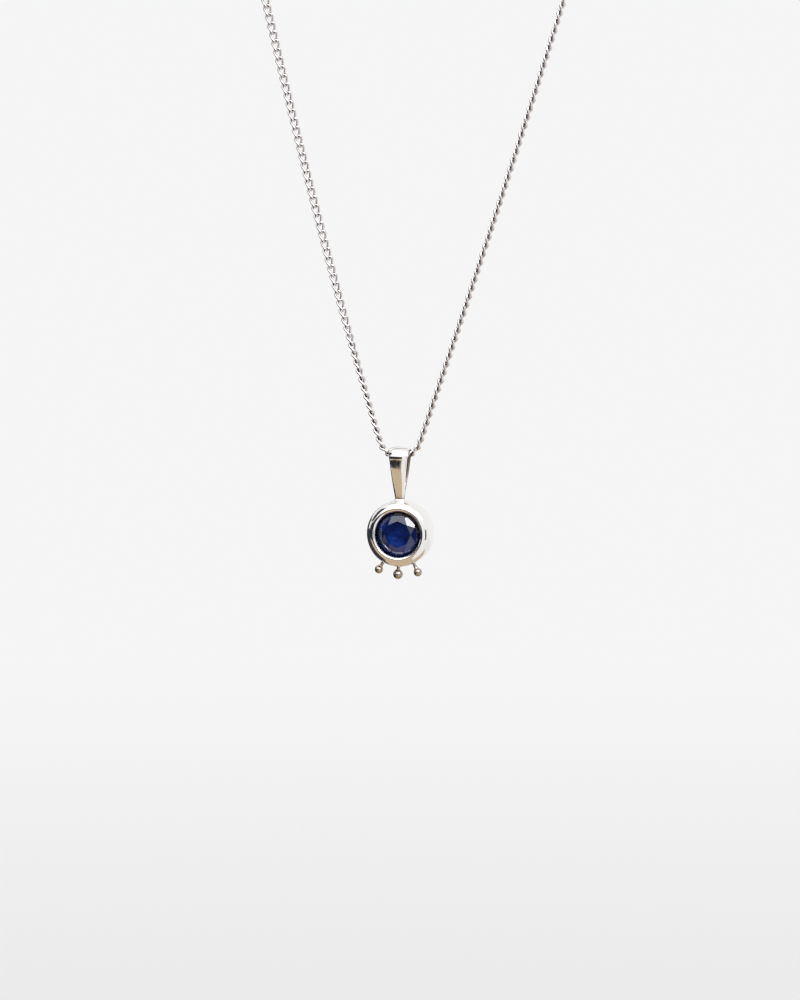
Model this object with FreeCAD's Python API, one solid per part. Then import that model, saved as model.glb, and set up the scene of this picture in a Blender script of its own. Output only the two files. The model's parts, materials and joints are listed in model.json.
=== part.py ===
import FreeCAD, Part
import math
import os

# Pendant necklace: a round blue stone in a plain bezel ring under a folded bail, three ball-ended
# wires below it, a fine curb chain and a bolt-ring clasp.  It is stored as it hangs on a slim neck.
# Millimetres.  +Z is up and the stone faces -Y.  The origin is the centre of the neck opening, so
# the chain crosses the plane z = 0 at the sides of the neck and lies in it round the nape.

Vector = FreeCAD.Vector
ORIGIN = Vector(0, 0, 0)
X_AXIS = Vector(1, 0, 0)
Y_AXIS = Vector(0, 1, 0)
Z_AXIS = Vector(0, 0, 1)

# ---- how it hangs ----
NECK_RADIUS = 36.2          # the nape chain's curve, seen from above
SHOULDER_BEND = 10.0        # bend from the front strands back over the side of the neck
BAIL_DROP = 134.0           # neck plane down to the centre of the bail's round top
PENDANT_X = -3.7            # the pendant hangs a little to the left of the middle
FRONT_Y = -SHOULDER_BEND    # the front strands and the pendant hang in this plane
STRAND_TOP_INSET = 1.2      # the strands are this much nearer the middle than the neck's side
FOOT_RADIUS = 2.62          # curve of the chain where it runs through the bail
STRAND_SLOPES = {-1: (0.305, 0.20), 1: (0.343, 0.22)}   # sideways run per rise: at the bail, at the top
FOLD_HEIGHTS = (12.0, 39.0, 66.0, 93.0, 120.0)          # above the bail, where the front chain folds

# ---- curb chain ----
PITCH = 1.10                # spacing of the links along the chain
WIRE = 0.28                 # link wire diameter
LINK_SLACK = 0.03           # play between two linked wires
LINK_HALF_LENGTH = (PITCH + WIRE + LINK_SLACK) / 2      # to the wire's centre line
LINK_HALF_WIDTH = 0.39
LINK_TWIST_HEIGHT = 0.22    # the wire rises and dips this far, so that the links lie flat together
LINK_CORNER_SHARE = 0.47    # how square the link's outline is
STRAND_ROLL = 45.0          # degrees; how far the left strand's flat side turns towards the front
ROLL_START, ROLL_RISE = 4.0, 24.0        # above the bail, where the left strand turns and over what height
ROLL_END, ROLL_FALL = 75.0, 45.0         # and where it turns back
END_LINK_ROLL = 21.0        # degrees; the last links turn so that their rings pass squarely through

# ---- stone ----
STONE_RADIUS = 3.0
TABLE_RADIUS = 1.65
CROWN_HEIGHT = 0.85
GIRDLE_THICKNESS = 0.10
PAVILION_DEPTH = 2.10
STAR_TIP_RADIUS = 2.26
LOWER_TIP_RADIUS = 0.72
CULET_RADIUS = 0.12
TABLE_Y = -1.50             # how far in front of the pendant's middle plane the table lies

# ---- bezel ring ----
BEZEL_RADIUS = 4.05
BEZEL_OPENING = 2.80        # front lip
BEZEL_FRONT = -1.60
BEZEL_BACK = 1.60
BEZEL_CREST_RADIUS = 3.10
BEZEL_SHOULDER = (3.76, -1.30)           # radius and Y of a point on the rolled front, outside the crest
BEZEL_BROW = (2.90, -1.49)               # and of one inside it
BEZEL_WALL_FRONT = -0.75    # where the straight outer wall meets the rolled front
BEZEL_CORNER = 0.35         # rounding of the back edge
LIP_SLOPE = 0.80            # how steeply the lip's underside follows the crown
LIP_THICKNESS = 0.38
STONE_ROOM = 0.02           # play round the stone's edge
BACK_HOLE_RADIUS = 2.35
NECK_TOP = 4.35             # top of the solder neck above the ring's centre
NECK_HALF_WIDTH = 0.55      # at its top, where the bail's foot stands on it
NECK_FLARE = 1.8            # radius of the hollow curve from the neck's top down to the ring
NECK_ROOT = 3.5             # the neck starts this far from the ring's centre, inside the rim

# ---- folded bail ----
BAIL_RISE = 9.43            # ring centre up to the centre of the bail's round top
BAIL_OUTER = 1.35
BAIL_INNER = 0.95
BAIL_TOP_WIDTH = 2.65
BAIL_FOOT_WIDTH = 1.10
BAIL_FOOT_THICKNESS = 0.88
BAIL_SLIT_DEPTH = 4.0       # the hollow closes this far below the centre of the round top
BAIL_EDGE_ROUND = 0.10

# ---- ball-ended wires: name, ball centre across and up from the ring's centre, ball radius ----
BALL_WIRES = (
    ("ball_wire_left", -2.67, -4.50, 0.53),
    ("ball_wire_centre", -0.25, -5.06, 0.61),
    ("ball_wire_right", 2.26, -4.76, 0.52),
)
BALL_STEM_RADIUS = 0.20
BALL_COLLAR = 0.10          # melted fillet between stem and ball

# ---- bolt-ring clasp ----
CLASP_RADIUS = 2.05         # to the centre line of the tube
CLASP_TUBE = 0.55           # outer radius of the tube
CLASP_BORE = 0.38
GAP_START, GAP_END = 40.0, 90.0          # degrees round the ring from +X towards +Z
BORE_END = 302.0            # the bore's closed end, where the spring stands
SOCKET_DEPTH = 7.0          # degrees; the bolt's nose rests in this mouth
BOLT_RADIUS = 0.33
BOLT_START, BOLT_END = 36.0, 160.0
BOLT_TRAVEL = 50.0
KNOB_ANGLE = 106.0
KNOB_RADIUS = 0.17
KNOB_REACH = 1.0            # from the tube's centre line outwards
SLOT_HALF_WIDTH = 0.22
SLOT_ROOM = 7.0             # degrees of slot past the knob at each end
SPRING_RADIUS = 0.25
SPRING_WIRE = 0.08
SPRING_TURNS = 11
EYE_RADIUS = 0.65
EYE_WIRE = 0.20
EYE_CENTRE = -(CLASP_RADIUS + CLASP_TUBE + EYE_RADIUS - EYE_WIRE * 0.3)
JUMP_RING_RADIUS = 1.0
JUMP_RING_WIRE = 0.20
END_RING_RADIUS = 1.30
END_RING_WIRE = 0.22
RING_PLAY = 0.02            # between two linked rings pulled straight


def placed(shape, move=ORIGIN, axis=Z_AXIS, angle=0):
    """A copy of the shape, turned about an axis through the origin and then moved."""
    result = shape.copy()
    result.Placement = FreeCAD.Placement(move, FreeCAD.Rotation(axis, angle)).multiply(result.Placement)
    return result


def prism(points, depth, direction):
    """A polygon's face pushed along a direction, centred on the polygon's own plane."""
    face = Part.Face(Part.makePolygon(points + [points[0]]))
    face.translate(direction * (-depth / 2))
    return face.extrude(direction * depth)


def ring(radius, wire_radius, centre, axis):
    return Part.makeTorus(radius, wire_radius, centre, axis)


# ---------------------------------------------------------------- curb link

def link_corners():
    """The eight corners that the link's rounded wire bends round, in order."""
    end = (LINK_HALF_LENGTH, LINK_HALF_WIDTH * LINK_CORNER_SHARE)
    side = (LINK_HALF_LENGTH * LINK_CORNER_SHARE, LINK_HALF_WIDTH)
    corners = []
    for along, across, order in ((1, 1, (end, side)), (-1, 1, (side, end)),
                                 (-1, -1, (end, side)), (1, -1, (side, end))):
        for x, y in order:
            corners.append(Vector(along * x, across * y, -along * across * LINK_TWIST_HEIGHT))
    return corners


def curb_link():
    """One twisted link, its length along X and its flat side facing Z: arcs and straights of round wire."""
    corners = link_corners()
    count = len(corners)
    bends = []
    for i in range(count):
        corner = corners[i]
        to_last = corners[i - 1] - corner
        to_next = corners[(i + 1) % count] - corner
        reach = min(to_last.Length, to_next.Length) / 2
        to_last.normalize()
        to_next.normalize()
        half_turn = (math.pi - to_last.getAngle(to_next)) / 2
        radius = reach / math.tan(half_turn)
        inward = (to_last + to_next).normalize()
        centre = corner + inward * (radius / math.cos(half_turn))
        axis = to_next.cross(to_last).normalize()
        bends.append((corner + to_last * reach, corner + to_next * reach, centre, axis, half_turn))
    pieces = []
    for i, (start, end, centre, axis, half_turn) in enumerate(bends):
        section = Part.Face(Part.Wire(Part.makeCircle(WIRE / 2, start, axis.cross(start - centre))))
        turn = math.degrees(2 * half_turn)
        pieces.append(section.revolve(centre, axis, turn))
        run = bends[(i + 1) % count][0] - end
        if run.Length > 1e-4:
            section = Part.Face(Part.Wire(Part.makeCircle(WIRE / 2, end, run)))
            pieces.append(section.extrude(run))
    return pieces[0].multiFuse(pieces[1:]).removeSplitter().Solids[0]


# ---------------------------------------------------------------- the chain's line

FOOT_STEPS = 200            # how closely each part of the chain's line is sampled
STRAND_STEPS = 2000
BEND_STEPS = 200
NAPE_STEPS = 1200
ARC_HOLD = 0.5523           # handle length of a curve that stands in for a quarter circle


def strand_line(side):
    """Closely spaced points from the middle of the bail, up one side and round to the clasp."""
    low_slope, top_slope = STRAND_SLOPES[side]
    foot_angle = math.atan(1 / low_slope)
    points = []
    for i in range(FOOT_STEPS + 1):
        angle = foot_angle * i / FOOT_STEPS
        points.append(Vector(PENDANT_X + side * FOOT_RADIUS * math.sin(angle), FRONT_Y,
                             -BAIL_DROP + FOOT_RADIUS * (1 - math.cos(angle))))
    foot_end = points[-1]
    top = Vector(side * (NECK_RADIUS - STRAND_TOP_INSET), FRONT_Y, -SHOULDER_BEND)
    third = (top.z - foot_end.z) / 3
    strand = Part.BezierCurve()
    strand.setPoles([foot_end, foot_end + Vector(side * low_slope * third, 0, third),
                     top - Vector(side * top_slope * third, 0, third), top])
    points += [strand.value(i / STRAND_STEPS) for i in range(1, STRAND_STEPS + 1)]
    hold = ARC_HOLD * SHOULDER_BEND
    neck_side = Vector(side * NECK_RADIUS, 0, 0)
    bend = Part.BezierCurve()
    bend.setPoles([top, top + Vector(side * top_slope * hold, 0, hold),
                   neck_side - Vector(0, hold, 0), neck_side])
    points += [bend.value(i / BEND_STEPS) for i in range(1, BEND_STEPS + 1)]
    last_angle = math.acos(CLASP_HALF_SPAN / NECK_RADIUS)
    for i in range(1, NAPE_STEPS + 1):
        angle = last_angle * i / NAPE_STEPS
        points.append(Vector(side * NECK_RADIUS * math.cos(angle), NECK_RADIUS * math.sin(angle), 0))
    return points


def step_along(points, start_index, pitch):
    """Points on the line, each a straight pitch from the one before, and the length left at the end."""
    joints = [points[start_index]]
    for i in range(start_index + 1, len(points)):
        while (points[i] - joints[-1]).Length >= pitch:
            low, high = 0.0, 1.0
            for _ in range(30):
                middle = (low + high) / 2
                trial = points[i - 1] + (points[i] - points[i - 1]) * middle
                if (trial - joints[-1]).Length < pitch:
                    low = middle
                else:
                    high = middle
            joints.append(points[i - 1] + (points[i] - points[i - 1]) * high)
    return joints, (points[-1] - joints[-1]).Length


def link_joints(side):
    """Where the links hook together from the bail to the clasp, with a pitch that just fills the line."""
    points = strand_line(side)
    start = min(range(FOOT_STEPS + 1), key=lambda i: abs(abs(points[i].x - PENDANT_X) - PITCH / 2))
    joints, left_over = step_along(points, start, PITCH)
    count = len(joints)
    pitch = PITCH + (left_over - PITCH) / count
    for _ in range(20):
        joints, left_over = step_along(points, start, pitch)
        shortfall = (len(joints) - 1 - count) * pitch + left_over
        pitch += shortfall / count
        if abs(shortfall) < 1e-4:
            break
    return joints[:count] + [points[-1]]


def link_roll(side, height):
    """Degrees that a link is turned on the chain from lying along the V: only the left strand turns."""
    if side > 0:
        return 0.0
    rise = min(max((height - ROLL_START) / ROLL_RISE, 0.0), 1.0)
    fall = min(max((height - ROLL_END) / ROLL_FALL, 0.0), 1.0)
    smooth_rise = rise * rise * (3 - 2 * rise)
    smooth_fall = fall * fall * (3 - 2 * fall)
    return STRAND_ROLL * (smooth_rise - smooth_fall)


def place_link(link, start, end, normal, roll):
    """A copy of the link between two hooking points, its flat side facing the rolled normal."""
    along = (end - start).normalize()
    flat = (normal - along * normal.dot(along)).normalize()
    flat = FreeCAD.Rotation(along, roll).multVec(flat)
    across = flat.cross(along)
    matrix = FreeCAD.Matrix(along.x, across.x, flat.x, 0, along.y, across.y, flat.y, 0,
                            along.z, across.z, flat.z, 0, 0, 0, 0, 1)
    copy = link.copy()
    copy.Placement = FreeCAD.Placement((start + end) * 0.5, FreeCAD.Rotation(matrix))
    return copy


def chain(link):
    """Every link, sorted into the stretch that it moves with, and the two ends of each fold line."""
    stretches = {"chain_foot": []}
    folds = {height: [] for height in FOLD_HEIGHTS}
    middle = []
    for side, word in ((-1, "left"), (1, "right")):
        joints = link_joints(side)
        middle.append(joints[0])
        fold_at = []
        for height in FOLD_HEIGHTS:
            nearest = min(range(len(joints)),
                          key=lambda i: abs(joints[i].z + BAIL_DROP - height))
            fold_at.append(nearest)
            folds[height].append(joints[nearest])
        normal = Z_AXIS
        for i in range(len(joints) - 1):
            stretch = sum(1 for fold in fold_at if i >= fold)
            if stretch == 0:
                name = "chain_foot"
            elif stretch == len(FOLD_HEIGHTS):
                name = "nape_chain_" + word
            else:
                name = "chain_" + word + "_" + str(stretch)
            along = (joints[i + 1] - joints[i]).normalize()
            normal = (normal - along * normal.dot(along)).normalize()
            height = (joints[i].z + joints[i + 1].z) / 2 + BAIL_DROP
            copy = place_link(link, joints[i], joints[i + 1], normal, side * link_roll(side, height))
            stretches.setdefault(name, []).append(copy)
        last_hook = joints[-1] - Vector(side * PITCH, 0, 0)
        stretches["nape_chain_" + word].append(place_link(link, joints[-1], last_hook, normal, END_LINK_ROLL))
    stretches["chain_foot"].append(place_link(link, middle[0], middle[1], Z_AXIS, 0))
    return stretches, folds


# ---------------------------------------------------------------- stone

def ring_point(radius, degrees, height):
    angle = math.radians(degrees)
    return Vector(radius * math.cos(angle), radius * math.sin(angle), height)


def cut_facet(solid, a, b, c):
    """Grind away everything outside the plane through three points."""
    normal = (b - a).cross(c - a).normalize()
    if normal.dot(a - Vector(0, 0, -GIRDLE_THICKNESS / 2)) < 0:
        normal = normal * -1
    size = 4 * STONE_RADIUS
    waste = Part.makeBox(size, size, size, Vector(-size / 2, -size / 2, 0))
    waste.Placement = FreeCAD.Placement(a, FreeCAD.Rotation(Z_AXIS, normal))
    return solid.cut(waste)


def height_on_line(radius, degrees, top_radius, top_height, base_height):
    """Height of a main facet, facing 0 degrees, at a point off its middle line."""
    slope = (top_height - base_height) / (STONE_RADIUS - top_radius)
    return top_height - slope * (radius * math.cos(math.radians(degrees)) - top_radius)


def brilliant():
    """Round brilliant with a scalloped girdle.  The table faces -Y and one of its corners points up."""
    base = -GIRDLE_THICKNESS
    culet = base - PAVILION_DEPTH
    total = CROWN_HEIGHT - culet
    stone = Part.makeCylinder(STONE_RADIUS, total, Vector(0, 0, culet))
    star_height = height_on_line(STAR_TIP_RADIUS, 22.5, TABLE_RADIUS, CROWN_HEIGHT, 0)
    lower_height = height_on_line(LOWER_TIP_RADIUS, 22.5, CULET_RADIUS, culet, base)
    for i in range(8):
        mid = 45.0 * i
        table_corner = ring_point(TABLE_RADIUS, mid, CROWN_HEIGHT)
        next_corner = ring_point(TABLE_RADIUS, mid + 45, CROWN_HEIGHT)
        star_tip = ring_point(STAR_TIP_RADIUS, mid + 22.5, star_height)
        last_star_tip = ring_point(STAR_TIP_RADIUS, mid - 22.5, star_height)
        stone = cut_facet(stone, table_corner, star_tip, last_star_tip)
        stone = cut_facet(stone, table_corner, next_corner, star_tip)
        lower_tip = ring_point(LOWER_TIP_RADIUS, mid + 22.5, lower_height)
        last_lower_tip = ring_point(LOWER_TIP_RADIUS, mid - 22.5, lower_height)
        stone = cut_facet(stone, ring_point(STONE_RADIUS, mid, base), lower_tip, last_lower_tip)
        for near, far in ((mid, mid + 22.5), (mid + 45, mid + 22.5)):
            stone = cut_facet(stone, ring_point(STONE_RADIUS, near, 0),
                              ring_point(STONE_RADIUS, far, 0), star_tip)
            stone = cut_facet(stone, ring_point(STONE_RADIUS, near, base),
                              ring_point(STONE_RADIUS, far, base), lower_tip)
    stone = placed(stone, axis=X_AXIS, angle=90)
    stone.translate(Vector(0, TABLE_Y + CROWN_HEIGHT, 0))
    return stone


# ---------------------------------------------------------------- bezel, bail and ball wires

def bezel():
    """Cast ring with a rolled front, a seat for the stone, an open back and a flared solder neck."""
    girdle_front = TABLE_Y + CROWN_HEIGHT
    girdle_back = girdle_front + GIRDLE_THICKNESS
    seat_edge = STONE_RADIUS + STONE_ROOM
    pavilion_slope = PAVILION_DEPTH / STONE_RADIUS
    lip_back = girdle_front - (STONE_RADIUS - BEZEL_OPENING) * LIP_SLOPE - STONE_ROOM
    lip_front = lip_back - LIP_THICKNESS
    hole_front = girdle_back + (STONE_RADIUS - BACK_HOLE_RADIUS) * pavilion_slope + 2 * STONE_ROOM
    corner = BEZEL_CORNER
    corner_sag = corner * (1 - math.sqrt(0.5))

    def at(radius, y):
        return Vector(radius, y, 0)

    edges = [
        Part.makeLine(at(BACK_HOLE_RADIUS, BEZEL_BACK), at(BEZEL_RADIUS - corner, BEZEL_BACK)),
        Part.Arc(at(BEZEL_RADIUS - corner, BEZEL_BACK),
                 at(BEZEL_RADIUS - corner_sag, BEZEL_BACK - corner_sag),
                 at(BEZEL_RADIUS, BEZEL_BACK - corner)).toShape(),
        Part.makeLine(at(BEZEL_RADIUS, BEZEL_BACK - corner), at(BEZEL_RADIUS, BEZEL_WALL_FRONT)),
        Part.Arc(at(BEZEL_RADIUS, BEZEL_WALL_FRONT), at(*BEZEL_SHOULDER),
                 at(BEZEL_CREST_RADIUS, BEZEL_FRONT)).toShape(),
        Part.Arc(at(BEZEL_CREST_RADIUS, BEZEL_FRONT), at(*BEZEL_BROW),
                 at(BEZEL_OPENING, lip_front)).toShape(),
        Part.makeLine(at(BEZEL_OPENING, lip_front), at(BEZEL_OPENING, lip_back)),
        Part.makeLine(at(BEZEL_OPENING, lip_back), at(seat_edge, girdle_front - STONE_ROOM)),
        Part.makeLine(at(seat_edge, girdle_front - STONE_ROOM), at(seat_edge, girdle_back + STONE_ROOM)),
        Part.makeLine(at(seat_edge, girdle_back + STONE_ROOM), at(BACK_HOLE_RADIUS, hole_front)),
        Part.makeLine(at(BACK_HOLE_RADIUS, hole_front), at(BACK_HOLE_RADIUS, BEZEL_BACK)),
    ]
    body = Part.Face(Part.Wire(edges)).revolve(ORIGIN, Y_AXIS, 360)
    reach = BEZEL_RADIUS + NECK_FLARE
    corner_reach = math.hypot(NECK_HALF_WIDTH, NECK_TOP)
    lean = math.atan2(NECK_HALF_WIDTH, NECK_TOP) + math.acos(
        (reach ** 2 + corner_reach ** 2 - NECK_FLARE ** 2) / (2 * reach * corner_reach))
    outward = Vector(math.sin(lean), 0, math.cos(lean))
    flare = outward * reach
    foot = outward * BEZEL_RADIUS
    block = prism([Vector(-foot.x, 0, NECK_ROOT), Vector(foot.x, 0, NECK_ROOT), foot,
                   Vector(foot.x, 0, NECK_TOP), Vector(-foot.x, 0, NECK_TOP),
                   Vector(-foot.x, 0, foot.z)], BAIL_FOOT_THICKNESS, Y_AXIS)
    for side in (-1, 1):
        block = block.cut(Part.makeCylinder(NECK_FLARE, 2 * BAIL_FOOT_THICKNESS,
                                            Vector(side * flare.x, -BAIL_FOOT_THICKNESS, flare.z), Y_AXIS))
    return body.fuse(block).removeSplitter()


def teardrop(radius, foot_half, depth):
    """Round top with straight sides running down to a foot, as a list of edges in the YZ plane."""
    distance = math.hypot(foot_half, depth)
    angle = math.atan2(-depth, foot_half) + math.acos(radius / distance)
    touch = Vector(0, radius * math.cos(angle), radius * math.sin(angle))
    mirror = Vector(0, -touch.y, touch.z)
    edges = [Part.Arc(touch, Vector(0, 0, radius), mirror).toShape(),
             Part.makeLine(mirror, Vector(0, -foot_half, -depth)),
             Part.makeLine(Vector(0, foot_half, -depth), touch)]
    if foot_half > 0:
        edges.insert(2, Part.makeLine(Vector(0, -foot_half, -depth), Vector(0, foot_half, -depth)))
    return edges


def bail():
    """Tapered strip folded over into a loop, its two ends closed together at the foot."""
    foot_z = NECK_TOP - BAIL_RISE
    outer = Part.Face(Part.Wire(teardrop(BAIL_OUTER, BAIL_FOOT_THICKNESS / 2, -foot_z)))
    inner = Part.Face(Part.Wire(teardrop(BAIL_INNER, 0, BAIL_SLIT_DEPTH)))
    strip = outer.cut(inner).extrude(X_AXIS * BAIL_TOP_WIDTH)
    strip.translate(X_AXIS * (-BAIL_TOP_WIDTH / 2))
    top, foot = BAIL_TOP_WIDTH / 2, BAIL_FOOT_WIDTH / 2
    taper = prism([Vector(-foot, 0, foot_z), Vector(foot, 0, foot_z), Vector(top, 0, BAIL_OUTER),
                   Vector(-top, 0, BAIL_OUTER)], 4 * BAIL_OUTER, Y_AXIS)
    blank = strip.common(taper).removeSplitter()
    rims = [edge for edge in blank.Edges if on_outer_rim(edge, foot_z)]
    loop = blank.makeFillet(BAIL_EDGE_ROUND, rims)
    loop.translate(Vector(0, 0, BAIL_RISE))
    return loop


def on_outer_rim(edge, foot_z):
    """True for the bail's outer long edges, at its sides."""
    middle = edge.valueAt((edge.FirstParameter + edge.LastParameter) / 2)
    if abs(middle.x) < BAIL_FOOT_WIDTH / 2 - 0.05 or middle.z < foot_z + 0.01:
        return False
    leg_share = max(0.0, -middle.z / -foot_z)
    outside = BAIL_OUTER + (BAIL_FOOT_THICKNESS / 2 - BAIL_OUTER) * leg_share
    return math.hypot(middle.y, max(middle.z, 0.0)) > outside - 0.15


def ball_wire(across, up, ball_radius, ring_solid):
    """Short wire soldered to the ring's edge, its free end melted into a ball."""
    reach = math.hypot(across, up)
    start = BEZEL_RADIUS - 0.3
    stem_length = reach - start
    neck = math.sqrt(ball_radius ** 2 - (BALL_STEM_RADIUS + BALL_COLLAR) ** 2)
    base = math.sqrt(ball_radius ** 2 - BALL_STEM_RADIUS ** 2)
    stem = Part.makeCylinder(BALL_STEM_RADIUS, stem_length)
    ball = Part.makeSphere(ball_radius, Vector(0, 0, stem_length))
    collar = Part.makeCone(BALL_STEM_RADIUS, BALL_STEM_RADIUS + BALL_COLLAR, base - neck + BALL_COLLAR,
                           Vector(0, 0, stem_length - base - BALL_COLLAR))
    wire = stem.fuse([collar, ball]).removeSplitter()
    outward = Vector(across / reach, 0, up / reach)
    wire.Placement = FreeCAD.Placement(outward * start, FreeCAD.Rotation(Z_AXIS, outward))
    return wire.cut(ring_solid)


# ---------------------------------------------------------------- bolt-ring clasp

def tube_arc(wire_radius, start, end):
    """Part of a round ring about the clasp's centre, from one angle to another (+X towards +Z)."""
    angle = math.radians(start)
    outward = Vector(math.cos(angle), 0, math.sin(angle))
    tangent = Vector(-math.sin(angle), 0, math.cos(angle))
    section = Part.Face(Part.Wire(Part.makeCircle(wire_radius, outward * CLASP_RADIUS, tangent)))
    return section.revolve(ORIGIN, Y_AXIS * -1, end - start)


def radial_pin(radius, degrees, inner, outer):
    """A round pin standing out from the clasp's centre."""
    angle = math.radians(degrees)
    outward = Vector(math.cos(angle), 0, math.sin(angle))
    return Part.makeCylinder(radius, outer - inner, outward * inner, outward)


def clasp_tube():
    """Hollow ring with a mouth, a bore for bolt and spring, and a slot that the knob slides in."""
    tube = tube_arc(CLASP_TUBE, GAP_END, GAP_START + 360)
    tube = tube.cut(tube_arc(CLASP_BORE, GAP_END - 1, BORE_END))
    tube = tube.cut(tube_arc(CLASP_BORE, GAP_START + 360 - SOCKET_DEPTH, GAP_START + 361))
    start = KNOB_ANGLE - SLOT_ROOM
    end = KNOB_ANGLE + BOLT_TRAVEL + SLOT_ROOM
    slot = Part.Face(Part.makePolygon([Vector(CLASP_RADIUS, -SLOT_HALF_WIDTH, 0),
                                       Vector(CLASP_RADIUS + 1, -SLOT_HALF_WIDTH, 0),
                                       Vector(CLASP_RADIUS + 1, SLOT_HALF_WIDTH, 0),
                                       Vector(CLASP_RADIUS, SLOT_HALF_WIDTH, 0),
                                       Vector(CLASP_RADIUS, -SLOT_HALF_WIDTH, 0)]))
    slot = placed(slot, axis=Y_AXIS * -1, angle=start).revolve(ORIGIN, Y_AXIS * -1, end - start)
    return tube.cut(slot)


def clasp_bolt():
    bolt = tube_arc(BOLT_RADIUS, BOLT_START, BOLT_END)
    knob = radial_pin(KNOB_RADIUS, KNOB_ANGLE, CLASP_RADIUS, CLASP_RADIUS + KNOB_REACH - KNOB_RADIUS)
    angle = math.radians(KNOB_ANGLE)
    tip = Vector(math.cos(angle), 0, math.sin(angle)) * (CLASP_RADIUS + KNOB_REACH - KNOB_RADIUS)
    return bolt.fuse([knob, Part.makeSphere(KNOB_RADIUS * 1.35, tip)]).removeSplitter()


def clasp_spring():
    """Coil wound along the bore, from the bolt's tail to the bore's closed end."""
    first = BOLT_END + 2.5
    last = BORE_END - 2.5
    steps_per_turn = 12
    count = SPRING_TURNS * steps_per_turn
    points = []
    for i in range(count + 1):
        around = math.radians(first + (last - first) * i / count)
        coil = 2 * math.pi * i / steps_per_turn
        radius = CLASP_RADIUS + SPRING_RADIUS * math.cos(coil)
        points.append(Vector(radius * math.cos(around), SPRING_RADIUS * math.sin(coil),
                             radius * math.sin(around)))
    line = Part.BSplineCurve()
    line.interpolate(points)
    start = line.tangent(line.FirstParameter)[0]
    section = Part.Wire(Part.makeCircle(SPRING_WIRE, points[0], start))
    return Part.Wire(line.toShape()).makePipeShell([section], True, True)


def clasp_eye(tube_solid):
    return ring(EYE_RADIUS, EYE_WIRE, Vector(EYE_CENTRE, 0, 0), Y_AXIS).cut(tube_solid)


# ---------------------------------------------------------------- assembly

END_RING_X = CLASP_RADIUS + END_RING_RADIUS - END_RING_WIRE - CLASP_TUBE - RING_PLAY
JUMP_RING_X = EYE_CENTRE - EYE_RADIUS + EYE_WIRE + JUMP_RING_WIRE + RING_PLAY - JUMP_RING_RADIUS
LINK_HOLE_END = LINK_HALF_LENGTH - WIRE / 2 - RING_PLAY
RIGHT_REACH = END_RING_X + END_RING_RADIUS + LINK_HOLE_END - END_RING_WIRE + PITCH / 2
LEFT_REACH = -JUMP_RING_X + JUMP_RING_RADIUS + LINK_HOLE_END - JUMP_RING_WIRE + PITCH / 2
CLASP_HALF_SPAN = (RIGHT_REACH + LEFT_REACH) / 2
CLASP_X = (LEFT_REACH - RIGHT_REACH) / 2
CLASP_Y = math.sqrt(NECK_RADIUS ** 2 - CLASP_HALF_SPAN ** 2)

parts = {}

stretches, folds = chain(curb_link())
for name, links in stretches.items():
    parts[name] = Part.makeCompound(links)

pendant_centre = Vector(PENDANT_X, FRONT_Y, -BAIL_DROP - BAIL_RISE)
bezel_ring = bezel()
parts["bezel_ring"] = placed(bezel_ring, pendant_centre)
parts["sapphire"] = placed(brilliant(), pendant_centre)
parts["bail"] = placed(bail(), pendant_centre)
for name, across, up, radius in BALL_WIRES:
    parts[name] = placed(ball_wire(across, up, radius, bezel_ring), pendant_centre)

clasp_centre = Vector(CLASP_X, CLASP_Y, 0)
solid_tube = tube_arc(CLASP_TUBE, GAP_END, GAP_START + 360)
parts["clasp_tube"] = placed(clasp_tube(), clasp_centre)
parts["clasp_bolt"] = placed(clasp_bolt(), clasp_centre)
parts["clasp_spring"] = placed(clasp_spring(), clasp_centre)
parts["clasp_eye"] = placed(clasp_eye(solid_tube), clasp_centre)
parts["jump_ring"] = ring(JUMP_RING_RADIUS, JUMP_RING_WIRE, clasp_centre + X_AXIS * JUMP_RING_X, Z_AXIS)
parts["end_ring"] = ring(END_RING_RADIUS, END_RING_WIRE, clasp_centre + X_AXIS * END_RING_X, Z_AXIS)

os.makedirs("parts", exist_ok=True)
for name, shape in parts.items():
    shape.exportStep("parts/" + name + ".step")

link_count = sum(len(links) for links in stretches.values())
print("links", link_count, "necklace length", round(link_count * PITCH + 2 * CLASP_HALF_SPAN - 2 * PITCH, 1))
print("clasp centre", clasp_centre)
for height, ends in folds.items():
    print("fold", height, ends[0], ends[1])
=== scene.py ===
import json
import math

import bpy
import numpy as np
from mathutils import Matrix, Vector, noise


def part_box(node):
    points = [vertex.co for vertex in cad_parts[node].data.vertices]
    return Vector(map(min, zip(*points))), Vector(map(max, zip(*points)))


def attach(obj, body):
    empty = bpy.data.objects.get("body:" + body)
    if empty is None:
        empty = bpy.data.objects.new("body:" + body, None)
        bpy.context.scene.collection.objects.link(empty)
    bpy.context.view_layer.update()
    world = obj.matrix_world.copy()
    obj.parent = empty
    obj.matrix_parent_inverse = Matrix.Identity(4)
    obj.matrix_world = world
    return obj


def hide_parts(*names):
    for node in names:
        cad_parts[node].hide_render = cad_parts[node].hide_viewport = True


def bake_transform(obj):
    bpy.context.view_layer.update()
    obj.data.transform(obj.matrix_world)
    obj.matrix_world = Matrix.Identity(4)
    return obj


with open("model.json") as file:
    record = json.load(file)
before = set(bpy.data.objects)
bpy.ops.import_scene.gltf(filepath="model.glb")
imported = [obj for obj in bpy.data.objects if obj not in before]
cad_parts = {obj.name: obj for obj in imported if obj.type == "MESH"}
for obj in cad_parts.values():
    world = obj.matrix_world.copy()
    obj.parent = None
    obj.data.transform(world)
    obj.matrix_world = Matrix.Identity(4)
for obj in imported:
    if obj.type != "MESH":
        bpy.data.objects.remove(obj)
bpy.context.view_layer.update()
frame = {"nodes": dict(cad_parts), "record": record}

MM = 0.001
PER_METRE = 1000                # millimetres

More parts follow.
